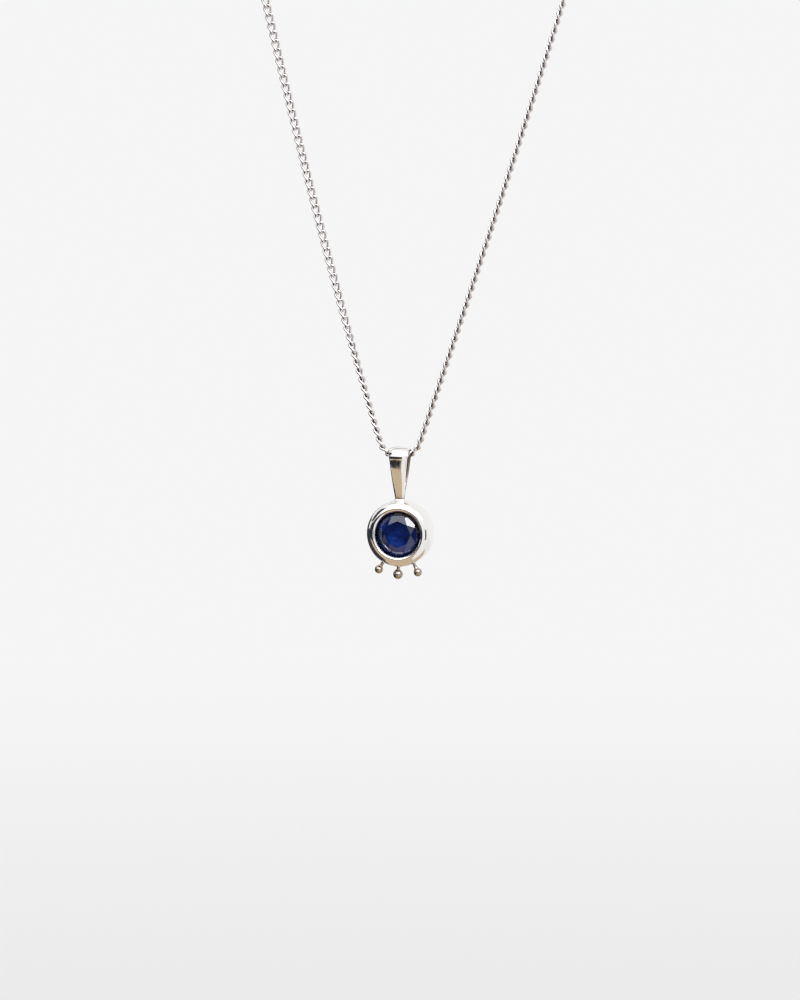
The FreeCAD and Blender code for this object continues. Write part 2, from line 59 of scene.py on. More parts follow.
# ---- places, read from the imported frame, in metres ----
STONE_LOW, STONE_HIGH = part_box("sapphire")
BAIL_LOW, BAIL_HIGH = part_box("bail")
STONE_CENTRE = (STONE_LOW + STONE_HIGH) / 2
RING_CENTRE = Vector((STONE_CENTRE.x, (BAIL_LOW.y + BAIL_HIGH.y) / 2, STONE_CENTRE.z))
CHAIN_NODES = [name for name in frame["nodes"] if "chain" in name]
BODY_OF = {node: body for body, nodes in frame["record"]["behaviour"]["bodies"].items() for node in nodes}

# ---- chain links, in millimetres like all the metalwork below ----
WIRE_RADIUS = 0.14
LINK_HALF_LENGTH = 0.705
LINK_HALF_WIDTH = 0.39
LINK_TWIST = 0.22               # how far the corners stand out of the link's flat side
LINK_SQUARE = 0.47              # where a corner is cut, as a share of the half length or half width
LINK_CORNER_STEPS = 4
LINK_WIRE_SIDES = 10

# ---- bezel ring: the corners of its section, each as its radius and its depth behind the middle ----
RING_RADIUS = 4.05
BACK_INNER = (2.37, 1.60)
BACK_OUTER = (3.70, 1.60)
BACK_ROUND = (3.947, 1.497)
WALL_BACK = (RING_RADIUS, 1.25)
WALL_FRONT = (RING_RADIUS, -0.75)
SHOULDER = (3.76, -1.30)
CREST = (3.10, -1.60)
BROW = (2.90, -1.47)
LIP_FRONT = (2.81, -1.20)
LIP_BACK = (2.84, -0.86)
GROOVE_FRONT = (3.02, -0.67)    # the girdle of the stone sits in the groove
GROOVE_BACK = (3.02, -0.53)
SEAT_INNER = (2.37, -0.05)
POLISHED_FROM = 2.75            # radius outside which the ring is finished by hand
RING_STEPS = 240

# ---- the flared neck on the ring's top, which the bail stands on ----
NECK_TOP = 4.35
NECK_HALF_WIDTH = 0.55
NECK_FLARE = 1.8
NECK_HALF_THICKNESS = 0.44
NECK_ROOT = 3.75                # radius from which the section swells into the neck
NECK_ROOT_BLEND = 0.28
NECK_SIDE_INSET = 0.06
NECK_SIDE_BLEND = 0.42

# ---- bail ----
BAIL_RISE = 9.43                # from the ring's centre to the middle of the fold
BAIL_FOOT_Z = NECK_TOP - BAIL_RISE
BAIL_OUTER = 1.35
BAIL_INNER = 0.95
BAIL_TOP_HALF = 1.325
BAIL_FOOT_HALF = 0.55
BAIL_SLIT_HALF = 0.012
BAIL_SLIT_DEPTH = 4.0
BAIL_BOW_OUTSIDE = 0.24         # how far the legs bulge between the fold and the foot
BAIL_BOW_INSIDE = 0.20
BAIL_DOME = 0.24
BAIL_DOME_POWER = 2.4
BAIL_EDGE_DROP = 0.10           # rounding of the outer edge
BAIL_EDGE_START = 0.93
BAIL_EDGE_BAND = 0.07
BAIL_SIDE_START = 0.60          # the flat sides lie in the inner part of the thickness
BAIL_SIDE_SHARE = 0.40
BAIL_SIDE_WIDTH = 0.995
BAIL_BURR = 0.05                # rounding of the inner edge
BAIL_INSIDE_WIDTH = 0.96
BAIL_FOLD_STEPS = 36
BAIL_SLIT_STEPS = 28
BAIL_FOOT_STEPS = 6
BAIL_ACROSS = 22
BAIL_SIDE_STEPS = 4
BAIL_INSIDE_STEPS = 6

# ---- ball-ended wires ----
STEM_RADIUS = 0.20
STEM_SUNK = 0.12                # into the ring
STEM_SWELL = 0.05               # where the stem meets the ball
STEM_SHARES = (0.3, 0.6, 0.8, 0.92)         # places along the stem
SOLDER_LENGTH = 0.16
SOLDER_FILLET = ((0, 1.35), (0.06, 1.12), (SOLDER_LENGTH, 1))   # distance out, radius in stem radii
CENTRE_BAND = 1.2               # a ball closer than this to the ring's middle is the centre one
BALL_NECK = 0.07
BALL_STEPS = 14
BALL_END_ANGLE = 0.12           # radians between the last full ring and the tip
BALL_TIP = (0.999, 0.02)        # distance and radius of the flat tip, in ball radii
BALL_SIDES = 32

# ---- spring in the clasp ----
CLASP_RADIUS = 2.05
SPRING_RADIUS = 0.25
SPRING_WIRE = 0.08
SPRING_TURNS = 11
SPRING_START, SPRING_END = 162.5, 299.5     # degrees round the clasp
SPRING_TURN_STEPS = 14
SPRING_WIRE_SIDES = 8

# ---- camera, in metres ----
CAMERA_AZIMUTH = math.radians(12.5)
CAMERA_ELEVATION = math.radians(5.0)
CAMERA_DISTANCE = 0.50
VIEW_HEIGHT = 0.1236            # of the picture, at the pendant's distance
AIM_ABOVE_RING = 4.14 * MM
SENSOR = 36.0
CLIP_START = 0.01
CLIP_END = 20

# ---- stage and light, in metres ----
BACKDROP = (0.915, 0.915, 0.92)
FLOOR_GREY = (0.86, 0.86, 0.86)
FLOOR_Z = -0.36
FLOOR_RADIUS = 6.0
FLOOR_SEGMENTS = 96
FLOOR_FADE = (0.3, 1.6)         # from its own shade near the necklace to the backdrop's
STAGE_DISTANCE = 0.8
KEY_AZIMUTH, KEY_ELEVATION = 39, 38
KEY_SIZE = 0.30
KEY_WATTS = 0.6
WHITE = (1.0, 1.0, 1.0)
WARM = (0.57, 0.45, 0.31)
SLATE = (0.030, 0.033, 0.048)
PLUM = (0.17, 0.095, 0.105)
# name, azimuth, elevation and distance from the pendant, width, height, colour, strength
CARDS = (
    ("front_card", -33, 0, STAGE_DISTANCE, 1.20, 0.34, (0.015, 0.016, 0.020), 1.0),
    ("upper_left_card", -67, 30, STAGE_DISTANCE, 0.50, 0.44, (0.05, 0.05, 0.06), 1.0),
    ("right_card", 52, -5, STAGE_DISTANCE, 0.28, 0.30, (0.04, 0.04, 0.045), 1.0),
    ("chain_card", -120, 8, 0.5, 0.45, 0.20, (0.055, 0.042, 0.085), 1.0),
    ("rim_card", -152, 16, 0.6, 0.30, 0.14, PLUM, 1.0),
    ("crown_card", -152, 63, STAGE_DISTANCE, 0.60, 0.09, PLUM, 1.0),
    ("key_card", KEY_AZIMUTH, KEY_ELEVATION, 0.79, 0.31, 0.31, WHITE, 11.0),
    ("top_card", -12, 48, STAGE_DISTANCE, 0.75, 0.85, WHITE, 2.2),
)
# name, place from the ring's centre, width, height, colour
NEAR_CARDS = (
    ("under_card", (0.05, 0.03, -0.13), 0.14, 0.14, WARM),
    ("left_card", (-0.19, 0.03, -0.10), 0.38, 0.26, SLATE),
)
FLOOR_CARD_X, FLOOR_CARD_Y = -0.32, -0.45
FLOOR_CARD_Z = FLOOR_Z + 0.005
FLOOR_CARD_WIDTH, FLOOR_CARD_DEPTH = 0.76, 1.5

# ---- metal surfaces: depths and crevices in millimetres ----
SILVER = (0.94, 0.925, 0.90)
# each metal's second colour fills the crevices that ambient occlusion finds within its crevice reach: real
# tarnish, and painted shade where parts meet and cover each other
METALS = {
    "polished_silver": dict(clean=SILVER, tarnish_and_shade=(0.16, 0.13, 0.115), roughness=(0.05, 0.15),
                            scratch_depth=0.0012, wave_depth=0.0045),
    # the bail's silver: the same silver with deeper, farther-reaching painted shade in the gap between its
    # leaves
    "bail_shaded_silver": dict(clean=SILVER, tarnish_and_shade=(0.13, 0.10, 0.09), roughness=(0.05, 0.15),
                        scratch_depth=0.0012, wave_depth=0.0045, crevice=1.6, dark_until=0.48, seed=60.0),
    # inside of the bail: rougher silver, painted dark as shade inside the fold
    "dull_shaded_silver": dict(clean=(0.22, 0.165, 0.14), tarnish_and_shade=(0.06, 0.045, 0.04), roughness=(0.22, 0.40),
                        scratch_depth=0.0015, wave_depth=0.004, crevice=1.0, seed=75.0),
    # the ball wires' silver: darker and warmer, a painted reflection of dark and warm surroundings
    "wire_silver_painted_reflection": dict(clean=(0.46, 0.405, 0.345), tarnish_and_shade=(0.12, 0.095, 0.08), roughness=(0.10, 0.24),
                          scratch_depth=0.0015, wave_depth=0.006, seed=21.0),
    "chain_silver": dict(clean=(0.78, 0.745, 0.745), tarnish_and_shade=(0.085, 0.065, 0.080), roughness=(0.08, 0.20),
                         scratch_depth=0.0010, wave_depth=0.002, crevice=0.30, dark_until=0.50, seed=33.0),
    "spring_steel": dict(clean=(0.55, 0.55, 0.54), tarnish_and_shade=(0.10, 0.09, 0.08), roughness=(0.20, 0.34),
                         scratch_depth=0.0010, wave_depth=0.001, crevice=0.15, seed=47.0),
}
OCCLUSION_SAMPLES = 8
TARNISH_PATCHES = 0.35          # how much the noise moves the edge of the tarnish and painted shade
TARNISH_AND_SHADE_FADE = 0.42
POLISH_NOISE = (0.3, 0.7)       # the part of the noise that spans the range of roughness
SCRATCHES_UPRIGHT = (9, 9, 0.8)
SCRATCHES_LEVEL = (0.7, 8, 10)

# ---- sapphire ----
SAPPHIRE_TRANSMISSION = 0.5
SAPPHIRE_IOR = 1.77
SAPPHIRE_ZONES = ((0.34, (0.004, 0.010, 0.075)), (0.56, (0.007, 0.024, 0.17)), (0.72, (0.016, 0.060, 0.36)))
# painted shadow of the bezel: the stone's colour goes nearly black towards its rim
SAPPHIRE_PAINTED_SHADOW = (0.001, 0.002, 0.010)
PAINTED_SHADOW_SHIFT = 0.14                # of the middle that the painted shadow leaves lit, left and down from the stone's centre, in millimetres
PAINTED_SHADOW_FADE = (2.38, 2.70)
WEAR_NOISE = (0.4, 0.8)
WEAR_ROUGHNESS = (0.02, 0.14)


def new_object(name, data):
    """An object of that data, in the scene."""
    obj = bpy.data.objects.new(name, data)
    bpy.context.scene.collection.objects.link(obj)
    return obj


# ---------------------------------------------------------------- nodes of a material

def shader(material, kind):
    """The material's node of that kind, made if it has none."""
    nodes = material.node_tree.nodes
    for node in nodes:
        if node.bl_idname == kind:
            return node
    return nodes.new(kind)


def new_material(name):
    """A node material and its principled shader."""
    material = bpy.data.materials.new(name)
    material.use_nodes = True
    return material, shader(material, "ShaderNodeBsdfPrincipled")


def link_nodes(material, source, target):
    """Join two sockets."""
    material.node_tree.links.new(source, target)


def ramp_node(nodes, stops):
    """A colour ramp with those places and colours."""
    ramp = nodes.new("ShaderNodeValToRGB")
    while len(ramp.color_ramp.elements) < len(stops):
        ramp.color_ramp.elements.new(0.5)
    for element, (position, colour) in zip(ramp.color_ramp.elements, stops):
        element.position = position
        element.color = (*colour, 1)
    return ramp


def map_range(material, source, target, given, wanted=(0.0, 1.0), kind="LINEAR"):
    """Carry a value from one socket to another, from the given range to the wanted one."""
    node = material.node_tree.nodes.new("ShaderNodeMapRange")
    node.interpolation_type = kind
    node.inputs["From Min"].default_value = given[0]
    node.inputs["From Max"].default_value = given[1]
    node.inputs["To Min"].default_value = wanted[0]
    node.inputs["To Max"].default_value = wanted[1]
    link_nodes(material, source, node.inputs["Value"])
    link_nodes(material, node.outputs["Result"], target)


def noise_node(material, scale_per_mm, detail, stretch=(1, 1, 1), seed=0.0):
    """Noise in object space; the scale counts features to a millimetre."""
    nodes = material.node_tree.nodes
    coordinate = nodes.new("ShaderNodeTexCoord")
    mapping = nodes.new("ShaderNodeMapping")
    mapping.inputs["Scale"].default_value = tuple(PER_METRE * value for value in stretch)
    mapping.inputs["Location"].default_value = (seed, seed * 1.7, -seed)
    texture = nodes.new("ShaderNodeTexNoise")
    texture.inputs["Scale"].default_value = scale_per_mm
    texture.inputs["Detail"].default_value = detail
    link_nodes(material, coordinate.outputs["Object"], mapping.inputs["Vector"])
    link_nodes(material, mapping.outputs["Vector"], texture.inputs["Vector"])
    return texture


def mix_socket(sockets, name):
    """The colour socket of a Mix node, which has one of each name for every data type."""
    return next(socket for socket in sockets if socket.name == name and socket.type == "RGBA")


# ---------------------------------------------------------------- camera, stage and light

def build_camera():
    """A long lens, a little to the right of the pendant and above it, aimed over the ring."""
    sight = Vector((math.sin(CAMERA_AZIMUTH) * math.cos(CAMERA_ELEVATION),
                     -math.cos(CAMERA_AZIMUTH) * math.cos(CAMERA_ELEVATION),
                     math.sin(CAMERA_ELEVATION)))
    turn = sight.to_track_quat("Z", "Y")
    data = bpy.data.cameras.new("camera")
    data.sensor_width = SENSOR
    data.lens = SENSOR / 2 / (VIEW_HEIGHT / 2 / CAMERA_DISTANCE)
    data.clip_start = CLIP_START
    data.clip_end = CLIP_END
    camera = new_object("camera", data)
    aim = RING_CENTRE + turn @ Vector((0, AIM_ABOVE_RING, 0))
    camera.location = aim + sight * CAMERA_DISTANCE
    camera.rotation_euler = turn.to_euler()
    bpy.context.scene.camera = camera


def floor_material():
    """Matt and pale under the necklace, and as bright as the world far away, so that no edge shows."""
    material, principled = new_material("floor")
    principled.inputs["Base Color"].default_value = (*FLOOR_GREY, 1)
    principled.inputs["Roughness"].default_value = 0.9
    principled.inputs["Specular IOR Level"].default_value = 0.1
    nodes = material.node_tree.nodes
    glow = nodes.new("ShaderNodeEmission")
    glow.inputs["Color"].default_value = (*BACKDROP, 1)
    coordinate = nodes.new("ShaderNodeTexCoord")
    length = nodes.new("ShaderNodeVectorMath")
    length.operation = "LENGTH"
    mix = nodes.new("ShaderNodeMixShader")
    surface = shader(material, "ShaderNodeOutputMaterial").inputs["Surface"]
    link_nodes(material, coordinate.outputs["Object"], length.inputs[0])
    map_range(material, length.outputs["Value"], mix.inputs["Fac"], FLOOR_FADE, kind="SMOOTHSTEP")
    link_nodes(material, principled.outputs["BSDF"], mix.inputs[1])
    link_nodes(material, glow.outputs["Emission"], mix.inputs[2])
    link_nodes(material, mix.outputs["Shader"], surface)
    return material


def build_floor():
    """A wide pale disc, well below the pendant."""
    rim = []
    for i in range(FLOOR_SEGMENTS):
        angle = 2 * math.pi * i / FLOOR_SEGMENTS
        rim.append((FLOOR_RADIUS * math.cos(angle), FLOOR_RADIUS * math.sin(angle), 0))
    mesh = bpy.data.meshes.new("floor")
    mesh.from_pydata(rim, [], [tuple(range(FLOOR_SEGMENTS))])
    floor = new_object("floor", mesh)
    floor.location = (0, 0, FLOOR_Z)
    floor.data.materials.append(floor_material())


def emission_material(name, colour, strength):
    """Black, with only its own glow."""
    material, principled = new_material(name)
    principled.inputs["Base Color"].default_value = (0, 0, 0, 1)
    principled.inputs["Specular IOR Level"].default_value = 0
    principled.inputs["Emission Color"].default_value = (*colour, 1)
    principled.inputs["Emission Strength"].default_value = strength
    return material


def card(name, centre, facing, width, height, colour, strength=1.0):
    """A flat reflector that shows only in reflections."""
    mesh = bpy.data.meshes.new(name)
    w, h = width / 2, height / 2
    mesh.from_pydata([(-w, -h, 0), (w, -h, 0), (w, h, 0), (-w, h, 0)], [], [(0, 1, 2, 3)])
    obj = new_object(name, mesh)
    obj.location = centre
    obj.rotation_euler = (Vector(facing) - Vector(centre)).to_track_quat("Z", "Y").to_euler()
    obj.visible_camera = False
    obj.visible_shadow = False
    obj.visible_diffuse = False
    obj.data.materials.append(emission_material(name, colour, strength))


def build_key_light(location):
    """The only lamp: a soft square from the upper right."""
    data = bpy.data.lights.new("key", "AREA")
    data.shape = "RECTANGLE"
    data.size = KEY_SIZE
    data.size_y = KEY_SIZE
    data.energy = KEY_WATTS
    light = new_object("key", data)
    light.location = location
    light.rotation_euler = (Vector(location) - RING_CENTRE).to_track_quat("Z", "Y").to_euler()
    light.visible_camera = False


def toward(azimuth, elevation, distance=STAGE_DISTANCE):
    """A place seen from the pendant, in degrees to the right of straight ahead and upwards."""
    right, up = math.radians(azimuth), math.radians(elevation)
    return RING_CENTRE + distance * Vector((math.sin(right) * math.cos(up), -math.cos(right) * math.cos(up),
                                            math.sin(up)))


def build_stage():
    """A nearly white world and floor, with dark, warm and bright cards for the metal to reflect."""
    world = bpy.data.worlds.new("world")
    bpy.context.scene.world = world
    world.use_nodes = True
    background = world.node_tree.nodes["Background"]
    background.inputs["Color"].default_value = (*BACKDROP, 1)
    background.inputs["Strength"].default_value = 1.0
    build_floor()
    build_key_light(toward(KEY_AZIMUTH, KEY_ELEVATION))
    for name, azimuth, elevation, distance, width, height, colour, strength in CARDS:
        card(name, toward(azimuth, elevation, distance), RING_CENTRE, width, height, colour, strength)
    card("warm_card", (FLOOR_CARD_X, FLOOR_CARD_Y, FLOOR_CARD_Z), (FLOOR_CARD_X, FLOOR_CARD_Y, 0),
         FLOOR_CARD_WIDTH, FLOOR_CARD_DEPTH, WARM)
    for name, offset, width, height, colour in NEAR_CARDS:
        card(name, RING_CENTRE + Vector(offset), RING_CENTRE, width, height, colour)


# ---------------------------------------------------------------- materials

def metal_material(name, clean, tarnish_and_shade, roughness, scratch_depth, wave_depth, crevice=0.35,
                   dark_until=0.30, seed=0.0):
    """Polished metal: soft waves, scratches in two directions, uneven polish, and real tarnish with painted
    shade in the crevices.
    """
    material, principled = new_material(name)
    nodes = material.node_tree.nodes
    principled.inputs["Metallic"].default_value = 1.0

    # painted shade with real tarnish: ambient occlusion darkens the colour in crevices, and noise moves the
    # edge
    occlusion = nodes.new("ShaderNodeAmbientOcclusion")
    occlusion.samples = OCCLUSION_SAMPLES
    occlusion.inputs["Distance"].default_value = crevice * MM
    patches = noise_node(material, scale_per_mm=1.1, detail=3, seed=seed)
    tarnish_and_painted_shade = nodes.new("ShaderNodeMath")
    tarnish_and_painted_shade.operation = "MULTIPLY_ADD"
    tarnish_and_painted_shade.inputs[1].default_value = TARNISH_PATCHES
    link_nodes(material, patches.outputs["Fac"], tarnish_and_painted_shade.inputs[0])
    link_nodes(material, occlusion.outputs["AO"], tarnish_and_painted_shade.inputs[2])
    middle = tuple((a + 2 * b) / 3 for a, b in zip(tarnish_and_shade, clean))
    colours = ramp_node(nodes, [(dark_until, tarnish_and_shade), (dark_until + TARNISH_AND_SHADE_FADE, middle), (1.0, clean)])
    link_nodes(material, tarnish_and_painted_shade.outputs["Value"], colours.inputs["Fac"])
    link_nodes(material, colours.outputs["Color"], principled.inputs["Base Color"])

    polish = noise_node(material, scale_per_mm=2.3, detail=4, seed=seed + 5)
    map_range(material, polish.outputs["Fac"], principled.inputs["Roughness"], POLISH_NOISE, roughness)

    waves = noise_node(material, scale_per_mm=0.9, detail=2, seed=seed + 9)
    upright = noise_node(material, scale_per_mm=1.0, detail=3, stretch=SCRATCHES_UPRIGHT, seed=seed + 2)
    level = noise_node(material, scale_per_mm=1.0, detail=3, stretch=SCRATCHES_LEVEL, seed=seed + 3)
    normal = None
    for texture, depth in ((waves, wave_depth), (upright, scratch_depth), (level, scratch_depth)):
        bump = nodes.new("ShaderNodeBump")
        bump.inputs["Distance"].default_value = depth * MM
        link_nodes(material, texture.outputs["Fac"], bump.inputs["Height"])
        if normal:
            link_nodes(material, normal, bump.inputs["Normal"])
        normal = bump.outputs["Normal"]
    link_nodes(material, normal, principled.inputs["Normal"])
    return material


def sapphire_material():
    """Deep blue, clouded and zoned inside, with a painted shadow of the bezel that makes it nearly black at
    the rim, and slightly worn facets.
    """
    material, principled = new_material("sapphire")
    nodes = material.node_tree.nodes
    principled.inputs["Transmission Weight"].default_value = SAPPHIRE_TRANSMISSION
    principled.inputs["IOR"].default_value = SAPPHIRE_IOR
    zones = noise_node(material, scale_per_mm=0.55, detail=3, stretch=(1, 1, 1.6), seed=4.0)
    colours = ramp_node(nodes, SAPPHIRE_ZONES)
    link_nodes(material, zones.outputs["Fac"], colours.inputs["Fac"])

    # painted shadow: the base colour darkens to nearly black across the fade's two distances from the
    # shifted middle, as if the bezel shaded the rim
    coordinate = nodes.new("ShaderNodeTexCoord")
    offset = nodes.new("ShaderNodeVectorMath")
    offset.operation = "MULTIPLY_ADD"
    offset.inputs[1].default_value = (PER_METRE, 0, PER_METRE)
    offset.inputs[2].default_value = (PAINTED_SHADOW_SHIFT - PER_METRE * STONE_CENTRE.x, 0,
                                      PAINTED_SHADOW_SHIFT - PER_METRE * STONE_CENTRE.z)
    spread = nodes.new("ShaderNodeVectorMath")
    spread.operation = "LENGTH"
    shade = nodes.new("ShaderNodeMix")
    shade.data_type = "RGBA"
    mix_socket(shade.inputs, "B").default_value = (*SAPPHIRE_PAINTED_SHADOW, 1)
    link_nodes(material, coordinate.outputs["Object"], offset.inputs[0])
    link_nodes(material, offset.outputs["Vector"], spread.inputs[0])
    map_range(material, spread.outputs["Value"], shade.inputs["Factor"], PAINTED_SHADOW_FADE, kind="SMOOTHSTEP")
    link_nodes(material, colours.outputs["Color"], mix_socket(shade.inputs, "A"))
    link_nodes(material, mix_socket(shade.outputs, "Result"), principled.inputs["Base Color"])

    wear = noise_node(material, scale_per_mm=4.0, detail=4, seed=11.0)
    map_range(material, wear.outputs["Fac"], principled.inputs["Roughness"], WEAR_NOISE, WEAR_ROUGHNESS)
    return material


# ---------------------------------------------------------------- mesh helpers

def finish_piece(name, verts, faces, material, body):
    """A smooth piece with its material and slot.  It rides its body, if it has one."""
    mesh = bpy.data.meshes.new(name)
    mesh.from_pydata(verts, [], faces)
    mesh.validate()
    mesh.update()
    mesh.shade_smooth()
    mesh.materials.append(material)
    obj = new_object(name, mesh)
    if body:
        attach(obj, body)
    return obj


def grid_piece(name, rows, material, body, close_rows=False):
    """A skin over closed rows of points, in order: the last row meets the first, or both ends are capped."""
    count = len(rows[0])
    verts = [Vector(point) * MM for row in rows for point in row]
    faces = []
    spans = len(rows) if close_rows else len(rows) - 1
    for i in range(spans):
        here, there = i * count, (i + 1) % len(rows) * count
        for j in range(count):
            k = (j + 1) % count
            faces.append((here + j, here + k, there + k, there + j))
    if not close_rows:
        faces.append(tuple(reversed(range(count))))
        faces.append(tuple(range((len(rows) - 1) * count, len(rows) * count)))
    return finish_piece(name, verts, faces, material, body)


def hand_finish(point, depth, scale, seed):
    """A small in-and-out wander, as hand work leaves it, up to about the depth."""
    return depth * noise.noise(Vector(point) * scale + Vector((seed, 2.3 * seed, -seed)))


def smooth_step(value):
    """From 0 to 1 with no corner at either end."""
    value = min(max(value, 0.0), 1.0)
    return value * value * (3 - 2 * value)


def line_points(start, end, count):
    """Points on a straight line, the start included and the end left out."""
    return [tuple(a + (b - a) * i / count for a, b in zip(start, end)) for i in range(count)]


def arc_points(start, through, end, count):
    """Points on the circle through three points, the start included and the end left out."""
    ax, ay = start
    bx, by = through
    cx, cy = end
    aa = ax * ax + ay * ay
    bb = bx * bx + by * by
    cc = cx * cx + cy * cy
    d = 2 * (ax * (by - cy) + bx * (cy - ay) + cx * (ay - by))
    ux = (aa * (by - cy) + bb * (cy - ay) + cc * (ay - by)) / d
    uy = (aa * (cx - bx) + bb * (ax - cx) + cc * (bx - ax)) / d
    radius = math.hypot(ax - ux, ay - uy)
    first = math.atan2(ay - uy, ax - ux)
    turn = (math.atan2(cy - uy, cx - ux) - first + math.pi) % (2 * math.pi) - math.pi
    angles = [first + turn * i / count for i in range(count)]
    return [(ux + radius * math.cos(angle), uy + radius * math.sin(angle)) for angle in angles]


# ---------------------------------------------------------------- chain

def link_corners():
    """The eight corners that one link's wire bends round, lifted and lowered in turn by its twist."""
    end = (LINK_HALF_LENGTH, LINK_HALF_WIDTH * LINK_SQUARE)
    side = (LINK_HALF_LENGTH * LINK_SQUARE, LINK_HALF_WIDTH)
    corners = []
    for along, across, order in ((1, 1, (end, side)), (-1, 1, (side, end)),
                                 (-1, -1, (end, side)), (1, -1, (side, end))):
        for x, y in order:
            corners.append(np.array((along * x, across * y, -along * across * LINK_TWIST)))
    return corners


def link_line():
    """The middle of the link's wire: a smooth closed curve that rounds the corners."""
    corners = link_corners()
    count = len(corners)
    line = []
    for i in range(count):
        start = (corners[i - 1] + corners[i]) / 2
        end = (corners[i] + corners[(i + 1) % count]) / 2
        for k in range(LINK_CORNER_STEPS):
            t = k / LINK_CORNER_STEPS
            line.append((1 - t) ** 2 * start + 2 * t * (1 - t) * corners[i] + t * t * end)
    return np.array(line)


def link_mesh():
    """Points and faces of one link at the origin, length along X and flat side to Z."""
    line = link_line()
    total = len(line)
    points = []
    for i in range(total):
        tangent = line[(i + 1) % total] - line[i - 1]
        tangent /= np.linalg.norm(tangent)
        outward = np.cross(tangent, (0, 0, 1))
        outward /= np.linalg.norm(outward)
        up = np.cross(outward, tangent)
        for k in range(LINK_WIRE_SIDES):
            angle = 2 * math.pi * k / LINK_WIRE_SIDES
            points.append(line[i] + WIRE_RADIUS * (math.cos(angle) * outward + math.sin(angle) * up))
    faces = []
    for i in range(total):
        here, there = i * LINK_WIRE_SIDES, (i + 1) % total * LINK_WIRE_SIDES
        for k in range(LINK_WIRE_SIDES):
            m = (k + 1) % LINK_WIRE_SIDES
            faces.append((here + k, there + k, there + m, here + m))
    return np.array(points), np.array(faces)


def link_frames():
    """Centre and axes of every link in each chain node: equal runs of vertices, one run to a link."""
    counts = [len(frame["nodes"][name].data.vertices) for name in CHAIN_NODES]
    per_link = math.gcd(*counts)
    frames = {}
    for name in CHAIN_NODES:
        mesh = frame["nodes"][name].data
        points = np.empty(len(mesh.vertices) * 3, np.float32)
        mesh.vertices.foreach_get("co", points)
        links = points.reshape(-1, per_link, 3).astype(float)
        for link in links:
            centre = link.mean(0)
            axes = np.linalg.svd(link - centre, full_matrices=False)[2]
            if np.linalg.det(axes) < 0:
                axes[2] *= -1
            along_axes = (link - centre) @ axes.T
            centre = centre + (along_axes.max(0) + along_axes.min(0)) / 2 @ axes
            frames.setdefault(name, []).append((centre, axes))
    return frames


def build_chain(material):
    """One piece to a chain node, with a link in the place of each of its links."""
    points, faces = link_mesh()
    for name, placings in link_frames().items():
        verts = np.concatenate([points * MM @ axes + centre for centre, axes in placings])
        quads = np.concatenate([faces + i * len(points) for i in range(len(placings))])
        piece = finish_piece(name.replace("chain", "links"), verts.tolist(), quads.tolist(), material,
                             BODY_OF[name])
        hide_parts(name)


# ---------------------------------------------------------------- pendant

def neck_reach(angle):
    """How far the ring's edge lies from its centre, at an angle from the top, with the flared neck."""
    angle = abs(angle)
    flare_centre = RING_RADIUS + NECK_FLARE
    corner = math.hypot(NECK_HALF_WIDTH, NECK_TOP)
    corner_angle = math.atan2(NECK_HALF_WIDTH, NECK_TOP)
    lean = corner_angle + math.acos((flare_centre ** 2 + NECK_HALF_WIDTH ** 2 + NECK_TOP ** 2
                                     - NECK_FLARE ** 2) / (2 * flare_centre * corner))
    if angle >= lean:
        return RING_RADIUS
    if angle <= corner_angle:
        return NECK_TOP / math.cos(angle)
    far = flare_centre * math.cos(lean - angle)
    off = flare_centre * math.sin(lean - angle)
    return far - math.sqrt(NECK_FLARE ** 2 - off ** 2)


def bezel_section():
    """The ring's section, from its open back round the rolled front to the groove and the seat."""
    return (line_points(BACK_INNER, BACK_OUTER, 4)
            + arc_points(BACK_OUTER, BACK_ROUND, WALL_BACK, 5)
            + line_points(WALL_BACK, WALL_FRONT, 16)
            + arc_points(WALL_FRONT, SHOULDER, CREST, 16)
            + arc_points(CREST, BROW, LIP_FRONT, 8)
            + line_points(LIP_FRONT, LIP_BACK, 2)
            + line_points(LIP_BACK, GROOVE_FRONT, 2)
            + line_points(GROOVE_FRONT, GROOVE_BACK, 2)
            + line_points(GROOVE_BACK, SEAT_INNER, 4)
            + line_points(SEAT_INNER, BACK_INNER, 6))


def build_bezel(material):
    """The ring's skin, turned about its middle; near the top its edge swells out into the solder neck."""
    section = bezel_section()
    rows = []
    for i in range(RING_STEPS):
        angle = 2 * math.pi * ((i + 0.5) / RING_STEPS - 0.5)
        swell = neck_reach(angle) - RING_RADIUS
        row = []
        for radius, y in section:
            outer = smooth_step((radius - NECK_ROOT) / NECK_ROOT_BLEND)
            width = 1 - smooth_step((abs(y) - NECK_HALF_THICKNESS + NECK_SIDE_INSET) / NECK_SIDE_BLEND)
            reach = radius + swell * outer * width
            spot = (reach * math.sin(angle), y, reach * math.cos(angle))
            if radius > POLISHED_FROM:
                reach += hand_finish(spot, depth=0.012, scale=0.8, seed=3.0)
            row.append((RING_CENTRE.x / MM + reach * math.sin(angle), RING_CENTRE.y / MM + y,
                        RING_CENTRE.z / MM + reach * math.cos(angle)))
        rows.append(row)
    piece = grid_piece("bezel", rows, material, "pendant", close_rows=True)
    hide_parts("bezel_ring")


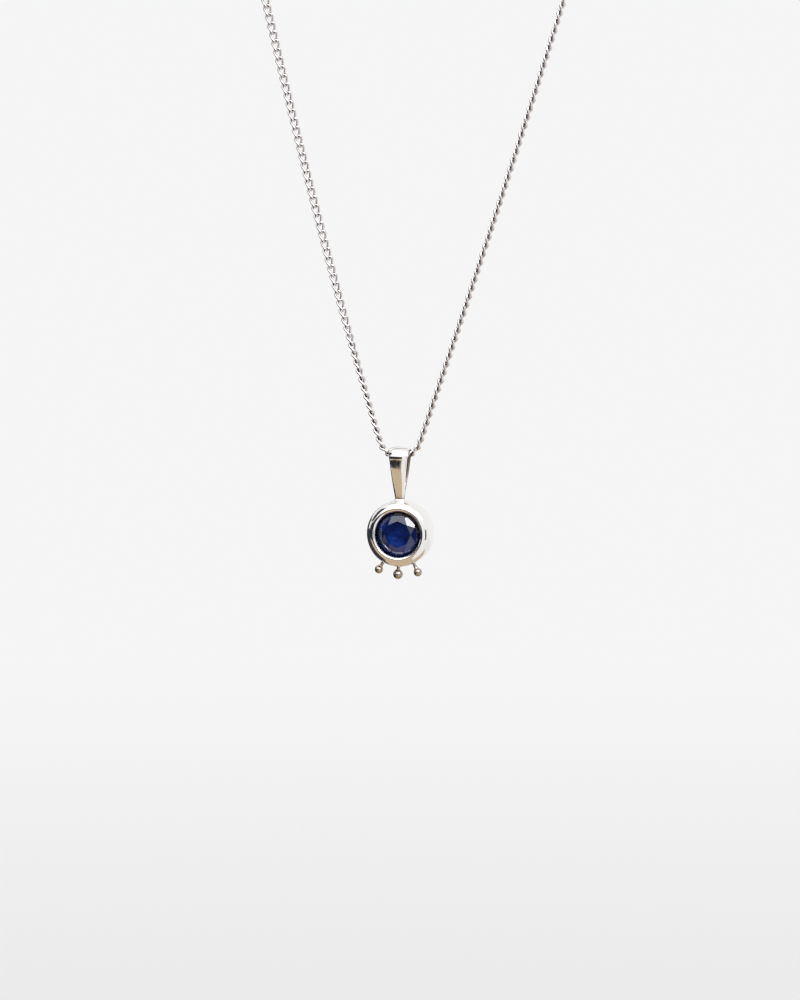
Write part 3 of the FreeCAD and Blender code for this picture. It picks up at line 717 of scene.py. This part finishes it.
def bail_line(radius, foot_half, depth, bow, count):
    """One side of the folded strip from the front foot over the top to the back foot, as (y, z)."""
    touch_angle = math.atan2(-depth, foot_half) + math.acos(radius / math.hypot(foot_half, depth))
    touch = (radius * math.cos(touch_angle), radius * math.sin(touch_angle))
    leg = []
    for i in range(count):
        t = i / count
        y = foot_half + (touch[0] - foot_half) * t + bow * math.sin(math.pi * t)
        leg.append((y, -depth + (touch[1] + depth) * t))
    turn = math.pi - 2 * touch_angle
    angles = [touch_angle + turn * i / BAIL_FOLD_STEPS for i in range(BAIL_FOLD_STEPS + 1)]
    top = [(radius * math.cos(angle), radius * math.sin(angle)) for angle in angles]
    mirrored = [(-y, z) for y, z in reversed(leg)]
    return [(-y, z) for y, z in leg + top + mirrored]


def bail_half_width(z):
    """Half the strip's width, which tapers from the top of the fold to the foot."""
    return BAIL_FOOT_HALF + (BAIL_TOP_HALF - BAIL_FOOT_HALF) * (z - BAIL_FOOT_Z) / (BAIL_OUTER - BAIL_FOOT_Z)


def bail_row(outer, inner):
    """The strip's section at one place: the domed outside, one side, the inside and the other side."""
    (oy, oz), (iy, iz) = outer, inner
    half = bail_half_width(oz)
    inner_half = bail_half_width(iz)
    thick = math.hypot(oy - iy, oz - iz)
    row = []
    for i in range(BAIL_ACROSS + 1):
        share = math.sin(math.pi / 2 * (2 * i / BAIL_ACROSS - 1))
        dome = BAIL_DOME * half / BAIL_TOP_HALF * abs(share) ** BAIL_DOME_POWER
        corner = BAIL_EDGE_DROP * max(0.0, (abs(share) - BAIL_EDGE_START) / BAIL_EDGE_BAND) ** 2
        sink = (dome + corner) / thick
        y, z = oy + (iy - oy) * sink, oz + (iz - oz) * sink
        wander = 1 + hand_finish((share, y, z), depth=0.012, scale=0.9, seed=7.0)
        row.append((half * share, y * wander, z))
    side = []
    for i in range(1, BAIL_SIDE_STEPS + 1):
        edge = inner_half - BAIL_BURR * (i == BAIL_SIDE_STEPS)
        sink = BAIL_SIDE_START + BAIL_SIDE_SHARE * i / BAIL_SIDE_STEPS
        side.append((edge * BAIL_SIDE_WIDTH, oy + (iy - oy) * sink, oz + (iz - oz) * sink))
    inside = []
    for i in range(1, BAIL_INSIDE_STEPS):
        inside.append((inner_half * BAIL_INSIDE_WIDTH * (1 - 2 * i / BAIL_INSIDE_STEPS), iy, iz))
    return row + side + inside + [(-x, y, z) for x, y, z in reversed(side)]


def build_bail(material, inside):
    """A tapered strip folded over, domed across its outside, with rounded edges and an inside that is
    rougher and painted dark as shade.
    """
    outer = bail_line(BAIL_OUTER, NECK_HALF_THICKNESS, -BAIL_FOOT_Z, BAIL_BOW_OUTSIDE,
                      BAIL_SLIT_STEPS + BAIL_FOOT_STEPS)
    slit = bail_line(BAIL_INNER, BAIL_SLIT_HALF, BAIL_SLIT_DEPTH, BAIL_BOW_INSIDE, BAIL_SLIT_STEPS)
    front_foot = (slit[0][0], BAIL_FOOT_Z)
    back_foot = (slit[-1][0], BAIL_FOOT_Z)
    inner = (line_points(front_foot, slit[0], BAIL_FOOT_STEPS) + slit
             + line_points(slit[-1], back_foot, BAIL_FOOT_STEPS)[1:] + [back_foot])
    rows = []
    for pair in zip(outer, inner):
        rows.append([(RING_CENTRE.x / MM + x, RING_CENTRE.y / MM + y, RING_CENTRE.z / MM + BAIL_RISE + z)
                     for x, y, z in bail_row(*pair)])
    piece = grid_piece("bail_strip", rows, material, "pendant")
    # the inside faces get the rougher silver, painted dark as shade inside the fold
    piece.data.materials.append(inside)
    ring_size = len(rows[0])
    side_faces = BAIL_SIDE_STEPS - 1
    for polygon in piece.data.polygons:
        place = polygon.index % ring_size
        if len(polygon.vertices) == 4 and BAIL_ACROSS + side_faces <= place < ring_size - side_faces:
            polygon.material_index = 1
    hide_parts("bail")


def wire_stations(run, ball):
    """Distance from the ring's centre and radius, from the solder along the stem and round the ball."""
    start = RING_RADIUS - STEM_SUNK
    neck_angle = math.asin((STEM_RADIUS + BALL_NECK) / ball)
    bead_start = run - ball * math.cos(neck_angle)
    stations = [(start + out, STEM_RADIUS * times) for out, times in SOLDER_FILLET]
    for share in STEM_SHARES:
        stations.append((start + SOLDER_LENGTH + (bead_start - start - SOLDER_LENGTH) * share,
                         STEM_RADIUS + STEM_SWELL * share ** 4))
    for i in range(BALL_STEPS + 1):
        angle = neck_angle + (math.pi - neck_angle - BALL_END_ANGLE) * i / BALL_STEPS
        stations.append((run - ball * math.cos(angle), ball * math.sin(angle)))
    stations.append((run + ball * BALL_TIP[0], ball * BALL_TIP[1]))
    return stations


def ball_place(name):
    """Centre and radius of the wire's ball, in millimetres: an outer ball touches its box's outer side."""
    low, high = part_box(name)
    ball = (high.y - low.y) / 2 / MM
    middle = (low.x + high.x) / 2
    if middle < RING_CENTRE.x - CENTRE_BAND * MM:
        x = low.x + ball * MM
    elif middle > RING_CENTRE.x + CENTRE_BAND * MM:
        x = high.x - ball * MM
    else:
        x = middle
    return Vector((x, (low.y + high.y) / 2, low.z + ball * MM)) / MM, ball


def build_ball_wire(name, material, seed):
    """A wire with its end melted into a slightly uneven bead."""
    centre, ball = ball_place(name)
    hub = RING_CENTRE / MM
    outward = (centre - hub).normalized()
    side = outward.cross(Vector((0, 1, 0))).normalized()
    front = side.cross(outward)
    rows = []
    for along, radius in wire_stations((centre - hub).length, ball):
        row = []
        for k in range(BALL_SIDES):
            angle = 2 * math.pi * k / BALL_SIDES
            spoke = math.cos(angle) * side + math.sin(angle) * front
            spot = outward * along + spoke * radius
            grow = 1 + hand_finish(spot, depth=0.05, scale=1.6, seed=seed)
            row.append(tuple(hub + outward * along + spoke * radius * grow))
        rows.append(row)
    piece = grid_piece(name.replace("ball_wire", "melted_wire"), rows, material, "pendant")
    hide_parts(name)


# ---------------------------------------------------------------- clasp

def spring_line(middle):
    """The middle of the spring's wire, coiled about the clasp's own circle."""
    count = SPRING_TURNS * SPRING_TURN_STEPS
    line = []
    for i in range(count + 1):
        around = math.radians(SPRING_START + (SPRING_END - SPRING_START) * i / count)
        coil = 2 * math.pi * i / SPRING_TURN_STEPS
        reach = CLASP_RADIUS + SPRING_RADIUS * math.cos(coil)
        line.append(middle + Vector((reach * math.cos(around), SPRING_RADIUS * math.sin(coil),
                                     reach * math.sin(around))))
    return line


def build_spring(material):
    """The coil in the clasp's bore, from its closed end to the bolt."""
    joint = next(j for j in frame["record"]["behaviour"]["joints"] if j["name"] == "bolt_slide")
    middle = Vector(joint["pos_m"]) / MM
    line = spring_line(middle)
    rows = []
    for i, point in enumerate(line):
        tangent = (line[min(i + 1, len(line) - 1)] - line[max(i - 1, 0)]).normalized()
        side = tangent.cross(point - middle).normalized()
        out = side.cross(tangent)
        row = []
        for k in range(SPRING_WIRE_SIDES):
            angle = 2 * math.pi * k / SPRING_WIRE_SIDES
            row.append(tuple(point + SPRING_WIRE * (math.cos(angle) * side + math.sin(angle) * out)))
        rows.append(row)
    spring = grid_piece("coil_spring", rows, material, None)
    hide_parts("clasp_spring")
    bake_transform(spring)


def dress(name, material):
    """Give a carried-over node its finished surface."""
    mesh = frame["nodes"][name].data
    mesh.materials.clear()
    mesh.materials.append(material)


def build_necklace():
    """Every piece in its material."""
    metals = {name: metal_material(name, **look) for name, look in METALS.items()}
    silver = metals["polished_silver"]
    build_chain(metals["chain_silver"])
    build_bezel(silver)
    build_bail(metals["bail_shaded_silver"], metals["dull_shaded_silver"])
    for i, name in enumerate(("ball_wire_left", "ball_wire_centre", "ball_wire_right")):
        build_ball_wire(name, metals["wire_silver_painted_reflection"], 2.0 + 3 * i)
    dress("sapphire", sapphire_material())
    build_spring(metals["spring_steel"])
    for name in ("clasp_tube", "clasp_bolt", "clasp_eye", "jump_ring", "end_ring"):
        dress(name, silver)


build_camera()
build_stage()
build_necklace()

bpy.context.scene.view_settings.view_transform = "Standard"
